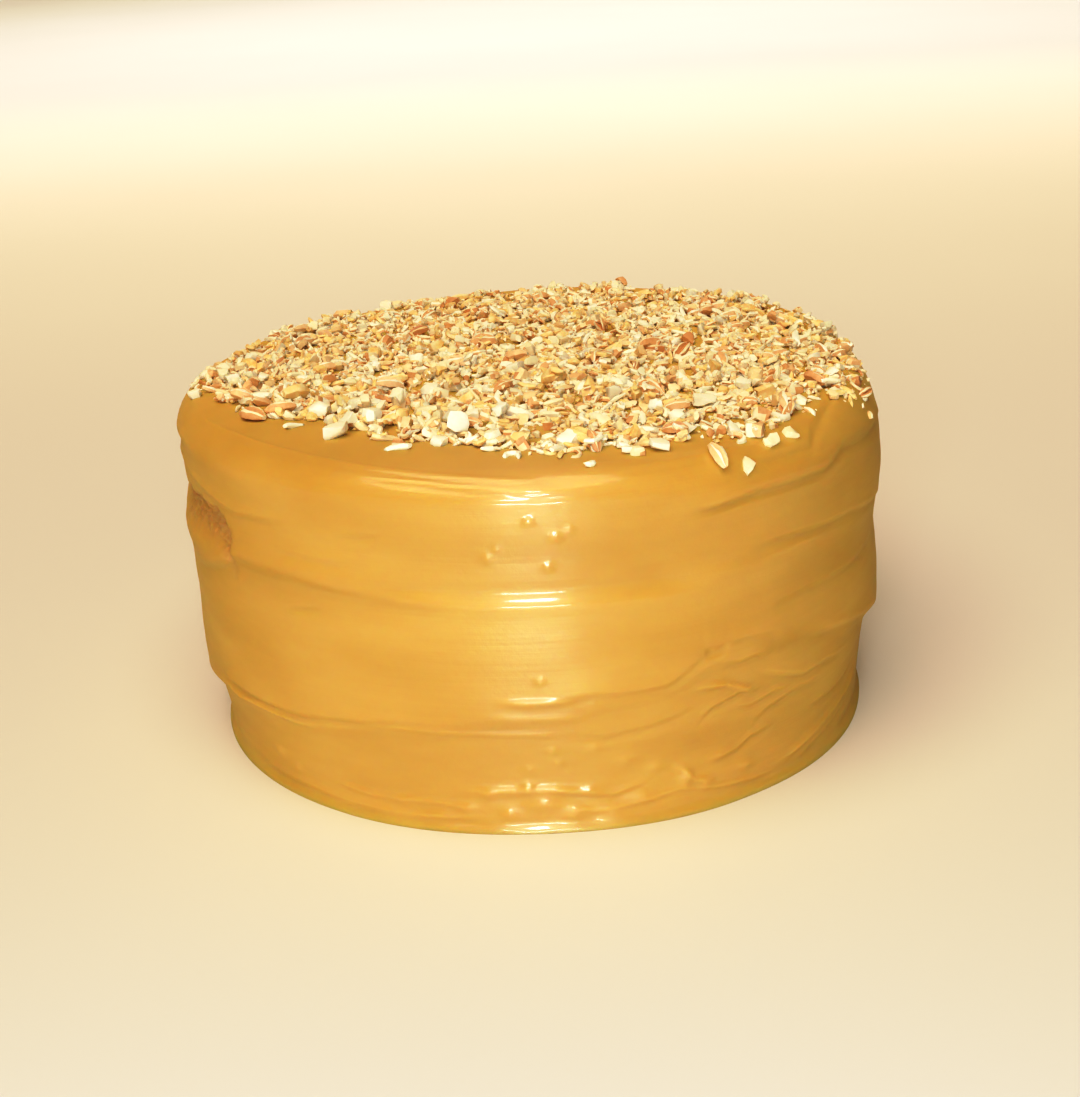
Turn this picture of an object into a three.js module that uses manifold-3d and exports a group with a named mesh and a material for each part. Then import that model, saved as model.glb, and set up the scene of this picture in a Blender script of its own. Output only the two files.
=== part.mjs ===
// A tall round caramel layer cake, iced all over and left uncut, with chopped pecans pressed into its top.
// Millimetres, +Z up. The origin is the middle of the flat base; -Y is the front of the cake.
// Angles run round the cake in degrees from the front: +90 is the right side, -90 the left side.
// The icing is one surface, radius against height for each angle: a narrow foot, a ledge where the
// upper tiers swell over it, a wall with low bellies, a soft shoulder and a nearly flat top.

import * as THREE from "three";
import { mergeVertices } from "three/addons/utils/BufferGeometryUtils.js";
import Module from "manifold-3d";

// Driving sizes of the cake: its side, its middle, and roughly how far out the nearly flat top reaches.
const SIDE_RADIUS = 109;
const CROWN_HEIGHT = 109.5;
const TOP_RADIUS = 100;

// The bed of fine chopped nuts: how thick it lies, how rough it is, and how far its edge takes to thin out.
const NUT_BED = 2;
const NUT_RELIEF = 2.4;
const NUT_EDGE_FADE = 6;

// How finely the surface is cut up.
const COLUMNS = 88;
const WALL_ROWS = 16;
const SHOULDER_ROWS = 3;
const TOP_RING_STEP = 8;
const TOP_POINT_STEP = 8;

// Each list below is [degrees round the cake, size in millimetres].
const RIM_HEIGHT = [
  [-150, 108.4], [-80, 108.8], [-30, 109], [0, 108.5], [40, 106.8], [80, 107], [125, 110.4], [165, 110],
];
const SHOULDER_DROP = [
  [-80, 10], [-20, 9], [10, 9], [40, 14], [70, 22], [90, 22], [130, 14], [180, 10],
];
const SHOULDER_IN = [[-80, 9], [10, 9], [40, 11], [80, 11], [130, 10], [180, 9]];
const LEDGE_HEIGHT = [
  [-110, 24], [-80, 23], [-62, 28], [-42, 31], [-19, 37], [0, 43], [14, 45],
  [30, 51], [42, 51], [61, 41], [80, 33], [110, 36], [150, 40], [200, 30],
];
const LEDGE_STEP = [[-80, 3.2], [-40, 1.6], [0, 1], [40, 1.4], [78, 3.4], [130, 2], [200, 1.8], [240, 2.4]];
const FOOT_DRAW_IN = [[-80, 2.6], [-35, 4.4], [0, 6.2], [30, 4.6], [70, 2.6], [180, 3.2]];
const NUT_EDGE = [
  [-178, 100], [-120, 101], [-80, 103], [-72, 99], [-62, 90], [-42, 85], [-19, 87],
  [0, 95], [17, 96], [28, 101], [43, 102], [67, 103], [110, 101], [150, 100],
];

// The height over which the ledge rounds off, and the share of the foot's height that its inward curve takes.
const LEDGE_ROUNDING = 7;
const FOOT_CURVE = 0.77;

// How far the cake is out of round: as an oval, and as three soft corners.
const OUT_OF_ROUND = [{ corners: 2, out: 0.35, turned: 60 }, { corners: 3, out: 0.3, turned: -35 }];

// Swells and hollows of the wall: place round the cake and its spread, height and its spread, and how far
// out. The deepest is the gouge in the icing of the left side.
const SWELLS = [
  { at: -67, wide: 10, height: 80, tall: 7, out: -2.6 },
  { at: -80, wide: 26, height: 71, tall: 6, out: 1.3 },
  { at: -80, wide: 26, height: 82, tall: 5, out: -0.8 },
  { at: 80, wide: 34, height: 60, tall: 9, out: -1.3 },
  { at: 80, wide: 34, height: 80, tall: 8, out: 0.5 },
  { at: -18, wide: 42, height: 78, tall: 5, out: 0.7 },
  { at: -18, wide: 42, height: 68, tall: 5, out: -0.6 },
  { at: 20, wide: 40, height: 92, tall: 9, out: 0.6 },
  { at: 165, wide: 40, height: 66, tall: 10, out: -1.1 },
  { at: 205, wide: 30, height: 84, tall: 9, out: 0.7 },
];

// The foot's little skirt where the icing meets what the cake stands on.
const SKIRT = { out: 1.2, tall: 4 };

// Chopped pecans large enough to be modelled one by one.
const NUT_COUNT = 162;
const NUT_LONG = [6, 9.6];
const NUT_WIDE_SHARE = [0.55, 0.8];
const NUT_THICK_SHARE = [0.42, 0.58];
const NUT_CORNER_JITTER = 0.22;
const NUT_TILT = 32;
const NUT_SUNK = 1.3;
const NUT_STRAYS = 3;
const GOLDEN_ANGLE = 137.50776;

const radians = THREE.MathUtils.degToRad;

/** A repeatable draw from 0 to 1 for the item of that number. */
function draw(item, channel) {
  const wave = Math.sin(item * 12.9898 + channel * 78.233) * 43758.5453;
  return wave - Math.floor(wave);
}

/** A repeatable draw between two sizes. */
function drawBetween([low, high], item, channel) {
  return low + (high - low) * draw(item, channel);
}

/** 0 below 0, 1 above 1, and an S-curve between. */
function ease(t) {
  return THREE.MathUtils.smoothstep(t, 0, 1);
}

/** The size that a list gives at an angle, eased from one entry to the next all round the cake. */
function roundTheCake(list, angle) {
  const first = list[0][0];
  const turned = THREE.MathUtils.euclideanModulo(angle - first, 360) + first;
  const closed = [...list, [first + 360, list[0][1]]];
  const next = closed.findIndex(([at]) => at > turned);
  const [a0, v0] = closed[next - 1];
  const [a1, v1] = closed[next];
  return v0 + (v1 - v0) * ease((turned - a0) / (a1 - a0));
}

/** 1 at an angle, fading to nothing over a spread of degrees. */
function nearAngle(angle, at, wide) {
  const away = THREE.MathUtils.euclideanModulo(angle - at + 180, 360) - 180;
  return Math.exp(-((away / wide) ** 2));
}

/** 1 at a height, fading to nothing over a spread of millimetres. */
function nearHeight(height, at, tall) {
  return Math.exp(-(((height - at) / tall) ** 2));
}

/** Radius of the iced wall at an angle and a height. */
function wallRadius(angle, height) {
  let radius = SIDE_RADIUS;
  for (const { corners, out, turned } of OUT_OF_ROUND) {
    radius += out * Math.sin(radians(corners * angle + turned));
  }
  for (const swell of SWELLS) {
    const nearness = nearAngle(angle, swell.at, swell.wide) * nearHeight(height, swell.height, swell.tall);
    radius += swell.out * nearness;
  }
  const ledge = roundTheCake(LEDGE_HEIGHT, angle);
  const below = ledge - height;
  radius -= roundTheCake(LEDGE_STEP, angle) * ease(below / LEDGE_ROUNDING);
  radius -= roundTheCake(FOOT_DRAW_IN, angle) * ease(below / (FOOT_CURVE * ledge));
  return radius + SKIRT.out * ease((SKIRT.tall - height) / SKIRT.tall);
}

/** Height of the icing on top, at an angle and a share of the way out to the rim. */
function topHeight(angle, share) {
  return CROWN_HEIGHT + (roundTheCake(RIM_HEIGHT, angle) - CROWN_HEIGHT) * share * share;
}

function pointAt(angle, radius, height) {
  return [radius * Math.sin(radians(angle)), -radius * Math.cos(radians(angle)), height];
}

/** Height and radius at which the wall turns into the shoulder, at an angle. */
function shoulderStart(angle) {
  const height = roundTheCake(RIM_HEIGHT, angle) - roundTheCake(SHOULDER_DROP, angle);
  return [height, wallRadius(angle, height)];
}

/** Where the shoulder ends and the top begins, at an angle. */
function rimRadius(angle) {
  return shoulderStart(angle)[1] - roundTheCake(SHOULDER_IN, angle);
}

/** How fully the bed of chopped nuts covers the cake there: 1 on it, 0 past its edge. */
function nutCover(angle, radius) {
  return ease((roundTheCake(NUT_EDGE, angle) - radius) / NUT_EDGE_FADE);
}

/** Height of the icing with its nut bed, at an angle and a radius on the top or the shoulder. */
function beddedHeight(angle, radius) {
  const rim = rimRadius(angle);
  const bed = nutCover(angle, radius) * NUT_BED;
  if (radius <= rim) return topHeight(angle, radius / rim) + bed;
  const [start, outer] = shoulderStart(angle);
  const turn = Math.acos(THREE.MathUtils.clamp(1 - (outer - radius) / (outer - rim), 0, 1));
  return start + roundTheCake(SHOULDER_DROP, angle) * Math.sin(turn) + bed;
}

/** One ring of the wall, as many points as there are columns, a share of the way up to the shoulder. */
function wallRing(share) {
  return evenAngles(COLUMNS).map((angle) => {
    const height = shoulderStart(angle)[0] * share;
    return pointAt(angle, wallRadius(angle, height), height);
  });
}

/** One ring of the rounded shoulder, at a share of its quarter turn. */
function shoulderRing(share) {
  const inward = 1 - Math.cos((Math.PI / 2) * share);
  return evenAngles(COLUMNS).map((angle) => {
    const radius = shoulderStart(angle)[1] - roundTheCake(SHOULDER_IN, angle) * inward;
    return pointAt(angle, radius, beddedHeight(angle, radius));
  });
}

/** One ring of the top, roughened where the chopped nuts lie; the rings count outwards from the middle. */
function topRing(ring, rings) {
  const share = ring / rings;
  const points = Math.round((2 * Math.PI * TOP_RADIUS * share) / TOP_POINT_STEP);
  return evenAngles(points).map((angle, i) => {
    const radius = rimRadius(angle) * share;
    const rough = NUT_RELIEF * nutCover(angle, radius) * (draw(i, 30 + ring) - 0.5);
    return pointAt(angle, radius, beddedHeight(angle, radius) + rough);
  });
}

function evenAngles(count) {
  return Array.from({ length: count }, (_, i) => -180 + (360 * i) / count);
}

/** Triangles between two rings of any number of points, the second one above or inside the first. */
function stitch(corners, triangles, lower, upper) {
  const angleOf = ([x, y], i) => (i === 0 ? -180 : THREE.MathUtils.radToDeg(Math.atan2(x, -y)));
  const start = [lower, upper].map((ring) => ring[0]);
  const angles = [lower, upper].map((ring) => [...ring.map((k, i) => angleOf(corners[k], i)), 180]);
  const closed = [[...lower, start[0]], [...upper, start[1]]];
  let a = 0;
  let b = 0;
  while (a < lower.length || b < upper.length) {
    const takeLower = b === upper.length || (a < lower.length && angles[0][a + 1] <= angles[1][b + 1]);
    if (takeLower) triangles.push([closed[0][a], closed[0][++a], closed[1][b]]);
    else triangles.push([closed[0][a], closed[1][b + 1], closed[1][b++]]);
  }
}

/** The iced cake as one closed geometry: flat base, wall, shoulder and top. */
function cakeGeometry() {
  const rings = [];
  for (let i = 0; i <= WALL_ROWS; i++) rings.push(wallRing(i / WALL_ROWS));
  for (let i = 1; i <= SHOULDER_ROWS; i++) rings.push(shoulderRing(i / SHOULDER_ROWS));
  const topRings = Math.round(TOP_RADIUS / TOP_RING_STEP);
  for (let i = topRings - 1; i > 0; i--) rings.push(topRing(i, topRings));

  const corners = [];
  const numbered = rings.map((ring) => ring.map((point) => corners.push(point) - 1));
  const triangles = [];
  for (let i = 1; i < numbered.length; i++) stitch(corners, triangles, numbered[i - 1], numbered[i]);

  const crown = corners.push([0, 0, CROWN_HEIGHT + NUT_BED]) - 1;
  const last = numbered[numbered.length - 1];
  last.forEach((k, i) => triangles.push([k, last[(i + 1) % last.length], crown]));
  const base = numbered[0];
  for (let i = 1; i < base.length - 1; i++) triangles.push([base[0], base[i + 1], base[i]]);

  const geometry = new THREE.BufferGeometry();
  geometry.setAttribute("position", new THREE.Float32BufferAttribute(corners.flat(), 3));
  geometry.setIndex(triangles.flat());
  return geometry;
}

/** One chopped pecan: a twenty-sided chunk pushed out of shape, longest along X. */
function nutGeometry(item) {
  const chunk = new THREE.IcosahedronGeometry(0.5, 0);
  chunk.deleteAttribute("normal");
  chunk.deleteAttribute("uv");
  const geometry = mergeVertices(chunk, 1e-3);
  const place = geometry.getAttribute("position");
  const long = drawBetween(NUT_LONG, item, 1);
  const wide = long * drawBetween(NUT_WIDE_SHARE, item, 2);
  const thick = long * drawBetween(NUT_THICK_SHARE, item, 3);
  for (let i = 0; i < place.count; i++) {
    const push = 1 + NUT_CORNER_JITTER * (2 * draw(item, 20 + i) - 1);
    place.setXYZ(i, place.getX(i) * long * push, place.getY(i) * wide * push, place.getZ(i) * thick * push);
  }
  return geometry;
}

/** Sets a nut down on a sunflower spiral shrunk to the nuts' own edge, tipped at random and a little sunk. */
function placeNut(geometry, item) {
  const tilt = radians(NUT_TILT);
  geometry.rotateX(tilt * (2 * draw(item, 6) - 1));
  geometry.rotateY(tilt * (2 * draw(item, 7) - 1));
  geometry.rotateZ(2 * Math.PI * draw(item, 8));
  geometry.computeBoundingBox();
  const angle = item * GOLDEN_ANGLE;
  const evenly = Math.sqrt((item + 0.5) / NUT_COUNT);
  const radius = roundTheCake(NUT_EDGE, angle) * evenly - NUT_STRAYS * draw(item, 5);
  const lowest = beddedHeight(angle, radius) - NUT_SUNK;
  return geometry.translate(...pointAt(angle, radius, lowest - geometry.boundingBox.min.z));
}

/** A closed, indexed geometry as a solid that can be joined to others. */
function solidOf(wasm, geometry) {
  return new wasm.Manifold(
    new wasm.Mesh({
      numProp: 3,
      vertProperties: new Float32Array(geometry.getAttribute("position").array),
      triVerts: new Uint32Array(geometry.getIndex().array),
    }),
  );
}

/** The geometry of a joined solid. */
function geometryOf(solid) {
  const mesh = solid.getMesh();
  const geometry = new THREE.BufferGeometry();
  geometry.setAttribute("position", new THREE.BufferAttribute(mesh.vertProperties, 3));
  geometry.setIndex(new THREE.BufferAttribute(mesh.triVerts, 1));
  return geometry;
}

const wasm = await Module();
wasm.setup();

let cake = solidOf(wasm, cakeGeometry());
for (let item = 0; item < NUT_COUNT; item++) {
  cake = cake.add(solidOf(wasm, placeNut(nutGeometry(item), item)));
}

// Nuts that lean together can seal a tiny hollow between them: only the outer skin is kept.
cake = cake.decompose().reduce((most, piece) => (piece.volume() > most.volume() ? piece : most));

const caramel = new THREE.MeshStandardMaterial({ color: "#d9983f", roughness: 0.32, metalness: 0 });
const caramelCake = new THREE.Mesh(geometryOf(cake), caramel);
caramelCake.name = "caramel_cake";

const group = new THREE.Group();
group.add(caramelCake);

export default group;
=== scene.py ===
"""A tall caramel layer cake, uncut: cooked icing spread with a knife, chopped pecans pressed into its top.

Sizes are in millimetres until a mesh is made. Angles run round the cake in degrees from its front, -Y:
+90 is the right side and -90 the left side. Height runs up from the surface that the cake stands on.
"""

import bpy
import numpy as np
from mathutils import Matrix, Vector


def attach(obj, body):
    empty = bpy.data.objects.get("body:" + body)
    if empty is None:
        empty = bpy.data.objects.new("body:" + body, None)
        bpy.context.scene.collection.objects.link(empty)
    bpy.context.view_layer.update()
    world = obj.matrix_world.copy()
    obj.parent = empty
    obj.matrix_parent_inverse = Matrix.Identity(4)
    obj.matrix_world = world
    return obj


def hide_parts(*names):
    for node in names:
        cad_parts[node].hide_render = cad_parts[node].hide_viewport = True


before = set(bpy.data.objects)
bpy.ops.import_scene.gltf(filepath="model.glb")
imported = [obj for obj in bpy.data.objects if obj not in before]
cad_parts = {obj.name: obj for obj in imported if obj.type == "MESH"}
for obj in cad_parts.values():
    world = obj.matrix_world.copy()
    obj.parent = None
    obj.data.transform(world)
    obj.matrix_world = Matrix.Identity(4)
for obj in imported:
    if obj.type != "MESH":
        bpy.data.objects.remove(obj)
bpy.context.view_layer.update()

MM = 0.001

# The cake's form, the same driving sizes as its solid.
SIDE_RADIUS = 109
CROWN_HEIGHT = 109.5
RIM_HEIGHT = [
    (-150, 108.4), (-80, 108.8), (-30, 109), (0, 108.5), (40, 106.8), (80, 107), (125, 110.4), (165, 110),
]
SHOULDER_DROP = [(-80, 10), (-20, 9), (10, 9), (40, 14), (70, 22), (90, 22), (130, 14), (180, 10)]
SHOULDER_IN = [(-80, 9), (10, 9), (40, 11), (80, 11), (130, 10), (180, 9)]
LEDGE_HEIGHT = [
    (-110, 24), (-80, 23), (-62, 28), (-42, 31), (-19, 37), (0, 43), (14, 45),
    (30, 51), (42, 51), (61, 41), (80, 33), (110, 36), (150, 40), (200, 30),
]
LEDGE_STEP = [(-80, 3.2), (-40, 1.6), (0, 1), (40, 1.4), (78, 3.4), (130, 2), (200, 1.8), (240, 2.4)]
LEDGE_ROUNDING = 7
FOOT_DRAW_IN = [(-80, 2.6), (-35, 4.4), (0, 6.2), (30, 4.6), (70, 2.6), (180, 3.2)]
FOOT_CURVE = 0.77
SKIRT_OUT = 1.2
SKIRT_TALL = 4

# How far out the chopped nuts reach at each angle.
NUT_EDGE = [
    (-178, 100), (-120, 102), (-84, 105), (-76, 102), (-72, 99), (-62, 90), (-42, 85), (-19, 87),
    (0, 95), (17, 96), (28, 101), (43, 102), (56, 103), (66, 107), (95, 107), (112, 104), (150, 101),
]

# Out of round: how many lobes, how far out, and how far turned.
OUT_OF_ROUND = [(2, 0.35, 60), (3, 0.3, -35)]

# Swells and hollows of the wall: angle and its spread, height and its spread, and how far out.
SWELLS = [
    (-80, 26, 71, 6, 1.3),
    (-80, 26, 82, 5, -0.8),
    (80, 34, 60, 9, -1.3),
    (80, 34, 80, 8, 0.5),
    (-18, 42, 78, 5, 0.7),
    (-18, 42, 68, 5, -0.6),
    (20, 40, 92, 9, 0.6),
    (165, 40, 66, 10, -1.1),
    (205, 30, 84, 9, 0.7),
]

# Marks of the icing knife, each with its lap, reach, ridge, groove and half width, then the points of
# (angle, length up the surface) that it runs through. Above the line the icing stands proud by the lap, or is
# sunk where the lap is negative, and that fades over the reach. The ridge is a bead along the line, and the
# groove a furrow under it.
KNIFE_MARKS = [
    # The swell under the gouge and its ledge across the front.
    (1, 9, 0.15, 0.4, 2, [
        (-76, 62), (-66, 65.4), (-58, 70), (-51, 75.2), (-42, 75.2), (-36, 74.7), (-30, 73.8),
        (-20, 72.4), (-8, 72),
    ]),
    (-2.2, 14, 0, 0, 3, [(-34, 72.6), (-11, 74), (0, 73.8), (7, 73.6), (30, 72.6)]),
    (-0.5, 16, 0, 0, 7, [(-46, 73), (-20, 74), (0, 74), (40, 72)]),
    # The low ledge of the left side and the bright bead under it.
    (0.7, 10, 0.1, 0.55, 1, [(-66, 31.2), (-54, 31.1), (-46, 31.4), (-40, 31.8), (-32, 34.2), (-19, 36.6)]),
    (-0.3, 6, 0.8, 0.1, 0.8, [(-63, 25.8), (-56, 27.4), (-50, 28.1), (-42, 27.9), (-36.6, 29)]),
    (-0.2, 6, 0.6, 0.2, 0.7, [(-31, 32.4), (-24, 33.8), (-17, 33.9), (-8, 33.4), (4, 32.4)]),
    # The lap that rises from the front to the right, and the one that falls away round the right side.
    (0.35, 9, 0, 0.45, 1.1, [
        (-3, 43.6), (1, 43.9), (7, 45), (13, 44.3), (18, 44.7), (21.4, 48.3), (24, 51.8), (28, 56),
    ]),
    (0.3, 5, 0, 0.7, 1.4, [(23.4, 54), (25.6, 52.4), (28, 53.6)]),
    (0.5, 9, 0, 0.5, 1.5, [(25, 52), (30, 53), (36, 52), (41, 47)]),
    (0.6, 9, 0, 0.6, 1.4, [(43, 46), (47, 44.3), (54, 43), (64, 39), (76, 34)]),
    (0.3, 6, 0, 0.4, 1, [(2, 33.6), (8, 30.8), (15, 32), (20, 33.4), (24, 37)]),
    # The creases of the upper right.
    (0.45, 9, 0.15, 0.4, 1.1, [(30, 79.8), (40, 79.4), (49, 77.8), (55, 77.4), (65, 74), (78, 70)]),
    (-0.4, 9, 0.25, 0, 1.2, [(18, 76), (26, 75.4), (34, 74.2), (37, 75), (46, 75), (58, 71.8), (66, 69)]),
    (0.9, 8, 0.25, 0.8, 1, [
        (20, 93.8), (26, 94.2), (32, 95.3), (37, 95.1), (48, 94), (54, 96), (62, 94), (69, 92.5), (82, 91),
    ]),
    (0.5, 5, 0.2, 0.6, 1, [(30, 101.5), (37, 101.8), (45, 101), (48, 104), (54, 107), (62, 110), (72, 112)]),
    (0.3, 10, 0.15, 0.3, 1.2, [(32, 60), (44, 61), (56, 60), (72, 60)]),
    # The thin beads round the rim.
    (-0.5, 9, 0.6, 0.1, 0.8, [(-72, 108), (-55, 110.5), (-40, 110.8), (-25, 109.6), (-12, 108.2), (2, 106)]),
    (-0.2, 6, 0.45, 0.2, 0.7, [(-26, 106.4), (-16, 105.8), (-8, 104.6), (0, 103.2), (8, 103.4)]),
    (-0.2, 8, 0.3, 0.1, 1, [(10, 108), (24, 107), (36, 106), (46, 108)]),
    # Short marks of the knife's tip.
    (0.2, 4, 0, 0.4, 0.7, [(-31, 89.2), (-27, 90.2), (-22, 91.2)]),
    (0.2, 4, 0, 0.4, 0.7, [(-42, 64.2), (-37, 66), (-33, 67.2)]),
    (0.25, 7, 0.15, 0.2, 1.2, [(-44, 83), (-34, 82), (-24, 82.8)]),
    (-0.1, 4, 0.8, 0.1, 1, [(-8, 43.4), (-1, 43.2), (6, 43)]),
    (-0.5, 5, 0.9, 0, 1.3, [(-10, 38.4), (-1, 38), (8, 37.6)]),
    (0, 4, 0.9, 0.3, 0.8, [(21.5, 41), (24.3, 40.4), (27.6, 39.7), (30.5, 37), (33, 34.4), (36, 35)]),
    (0.3, 5, 0.5, 0.5, 0.8, [(22.6, 27.4), (24.4, 31.5), (25.8, 33.5), (31, 35.8), (35, 36.2)]),
    (0.3, 6, 0.4, 0.5, 0.9, [(33, 41), (35, 39.8), (40, 35.8), (45, 32.5), (50, 33), (60, 31)]),
    (0.2, 5, 0.4, 0.5, 0.9, [(33, 18), (34.4, 24), (38, 27.2), (43, 28.9), (52, 28)]),
    (0.2, 4, 0.5, 0.3, 0.8, [(27, 47.6), (30, 46), (33, 46.6), (37, 44)]),
    (0.1, 4, 0.5, 0.3, 0.8, [(29, 31.4), (33, 30), (38, 31.6), (42, 30.4)]),
    (0.4, 6, 0.1, 0.5, 1, [(45, 19), (55, 19.4), (61, 20), (70, 24)]),
    # The foot, where the knife's point went round.
    (-0.3, 5, 0.55, 0.5, 0.9, [(-4, 15), (0, 13.8), (4, 11.9), (10, 10.3), (15, 12.8), (17.5, 16)]),
    (-0.2, 5, 0.5, 0.3, 0.8, [(0, 8.5), (7, 5.6), (13, 6.5), (21, 8.5), (28, 6), (35, 4.6), (42, 3.4)]),
    (-0.3, 5, 0.7, 0.4, 1, [(-60, 5.4), (-53, 4), (-43, 4.6), (-34, 3.6), (-23, 3.6), (-8, 4.6)]),
    (-0.2, 5, 0.6, 0.2, 0.9, [(-40, 9), (-30, 8), (-20, 8.6), (-10, 8)]),
    (-0.4, 5, 1.2, 0.2, 1.5, [(-16, 12.8), (-8, 13), (-1, 12.8), (8, 12)]),
    (-0.2, 5, 1.2, 0.4, 1.2, [(39, 6), (43, 6.8), (47, 8.4), (53, 10.6), (61, 13), (72, 17)]),
    (-0.2, 5, 1.1, 0.4, 1.2, [(42, 2.6), (46, 5), (50, 7), (58, 9.6), (70, 13)]),
    (0.2, 4, 0.5, 0.3, 0.9, [(19, 15.6), (21.3, 14.2), (23.3, 10), (26, 8.6)]),
    (0.2, 4, 0.3, 0.4, 1, [(25, 15.2), (31, 16), (34, 18.8), (40, 20)]),
]

# The made-up marks of the unseen sides: how many, from which angle and over how many degrees they start, and
# the least and most of their lap, reach, ridge, groove and half width.
HIDDEN_MARKS = 16
HIDDEN_FROM = 78
HIDDEN_SPAN = 190
HIDDEN_LEAST = (-0.3, 6, 0.1, 0.1, 0.9)
HIDDEN_MOST = (0.7, 14, 0.5, 0.6, 1.5)

# A mark fades at its ends over this many degrees, times one more than its half width.
MARK_FADE = 4

# As shares of a mark's half width: how far its bead lies above the line, how far its furrow lies below, and
# how wide the furrow is.
BEAD_ABOVE = 0.4
FURROW_BELOW = 1.3
FURROW_WIDE = 1.2

# The unevenness all over: how many waves, how tall, how many degrees wide, and how far out. Then the foot's
# own, how high it reaches, and over how much of that it fades.
UNEVENNESS = [(5, 26, 200, 0.22), (6, 9, 120, 0.045), (6, 4.2, 60, 0.02)]
FOOT_UNEVENNESS = (5, 7, 24, 0.35)
FOOT_UNEVEN_TO = 9
FOOT_UNEVEN_FADE = 8

# Dabs and blobs of icing on the side: angle and height, half width and half height, and how far out.
DABS = [
    (-50, 12, 2.4, 2, 1), (-46, 9, 1.6, 1.4, 0.7), (-1, 9.4, 5, 2.4, 1.2), (3.6, 5.6, 3.4, 1.8, 0.8),
    (-6.6, 6, 2.6, 1.8, 0.8), (-3.4, 15, 2, 1.5, 0.6), (-9.6, 12, 2.4, 1.8, 0.7), (-13.6, 7.4, 3, 1.6, 0.6),
    (6.6, 12.6, 3, 1.6, 0.7), (10, 4.6, 4, 1.6, 0.7), (15, 8.6, 3.6, 1.6, 0.6), (22, 12, 2.2, 3, 1.1),
    (17, 17.4, 2.6, 1.6, 0.6), (25.4, 9, 2.4, 2, 0.8), (12, 21, 2.6, 1.6, 0.5), (33, 10.4, 3, 1.6, 0.7),
    (-18, 5.4, 3.4, 1.5, 0.6), (-24, 7.6, 2.6, 1.5, 0.5), (-3, 20.6, 2, 1.5, 0.5), (7, 27, 2, 1.4, 0.4),
    (-7, 85.6, 1.8, 1.5, 0.7), (-5.6, 88, 1.2, 1.1, 0.45), (1.4, 82.6, 1.6, 1.3, 0.55),
    (2.6, 91, 1.8, 1.3, 0.6), (-1, 95.6, 1.4, 1.2, 0.5), (4.6, 92.4, 1.2, 1.1, 0.4),
    (0.6, 27, 1.8, 1.6, 0.6), (1.4, 22.6, 2, 1.6, 0.6),
    (-0.6, 50, 1.3, 1.2, 0.5), (0, 104.4, 4, 1.3, 0.35), (28, 16, 3, 1.6, 0.6),
    (-27.6, 34.6, 2.4, 0.9, 0.4), (-38.4, 29, 2.6, 1, 0.4),
]

# The gouge in the icing of the left side: the points of (angle, length up the surface) that it runs through,
# how deep it is, how far its upper edge lies over that line and its lower one under it, how wide those two
# edges are, and over how many degrees its left and right ends fade.
GOUGE_PATH = [
    (-84, 80), (-78, 82.6), (-73, 84), (-66, 84.8), (-60, 84.8), (-56, 84), (-53.6, 81.6), (-51.4, 76.4),
]
GOUGE_DEEP = 1.7
GOUGE_ABOVE = 3
GOUGE_BELOW = 11
GOUGE_UPPER_EDGE = 2.6
GOUGE_LOWER_EDGE = 8
GOUGE_LEFT_END = 8
GOUGE_RIGHT_END = 3

# The lumps inside the gouge: how far out, then how tall each sort of wave is and how it leans, in radians.
LUMPS_OUT = 0.28
LUMPS = [(4.1, 0.5), (2.9, -0.8), (3.4, 1.3), (2.5, 0.1)]

# The bulge pushed out under the gouge: angle and its spread, height and its spread, and how far out.
BULGE = (-67, 9, 73, 4, 0.9)

# How finely the icing is cut up. Its columns are closer at the front by a share, and the rows of its top are
# closer at the rim by a power.
COLUMNS = 600
WALL_ROWS = 134
SHOULDER_ROWS = 16
TOP_ROWS = 14
CLOSER_IN_FRONT = 0.35
CLOSER_AT_RIM = 1.6

# The marks fade out over the lowest stretch of the wall, and inside this radius of the top.
FOOT_PLAIN = 1.5
MIDDLE_PLAIN = 40

# Edges that turn by more degrees than this stay sharp.
ICING_SHARP_FROM = 60
NUT_SHARP_FROM = 42

rng = np.random.default_rng(94)


def ease(t):
    """0 below 0, 1 above 1, and the S-curve 3t^2 - 2t^3 between."""
    t = np.clip(t, 0, 1)
    return t * t * (3 - 2 * t)


def round_the_cake(knots, angle):
    """The size that a list of (angle, size) gives at each angle, eased from entry to entry, all round."""
    at = np.array([k[0] for k in knots] + [knots[0][0] + 360], float)
    size = np.array([k[1] for k in knots] + [knots[0][1]], float)
    turned = np.mod(angle - at[0], 360) + at[0]
    lower = np.clip(np.searchsorted(at, turned, side="right") - 1, 0, len(at) - 2)
    along = (turned - at[lower]) / (at[lower + 1] - at[lower])
    return size[lower] + (size[lower + 1] - size[lower]) * ease(along)


def away(angle, middle):
    """Degrees from the middle, the short way round."""
    return np.mod(angle - middle + 180, 360) - 180


def bell(distance, spread):
    """exp(-(distance / spread)^2)."""
    return np.exp(-((distance / spread) ** 2))


def wall_radius(angle, height):
    """The side's radius, out of round, with its swells, less the ledge's step and the foot's inward curve,
    and out again by the skirt at the very foot.
    """
    lobes = sum(out * np.sin(np.radians(n * angle + turned)) for n, out, turned in OUT_OF_ROUND)
    radius = SIDE_RADIUS + lobes
    for at, wide, level, tall, out in SWELLS:
        radius = radius + out * bell(away(angle, at), wide) * bell(height - level, tall)
    ledge = round_the_cake(LEDGE_HEIGHT, angle)
    below = ledge - height
    radius = radius - round_the_cake(LEDGE_STEP, angle) * ease(below / LEDGE_ROUNDING)
    radius = radius - round_the_cake(FOOT_DRAW_IN, angle) * ease(below / (FOOT_CURVE * ledge))
    return radius + SKIRT_OUT * ease((SKIRT_TALL - height) / SKIRT_TALL)


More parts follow.
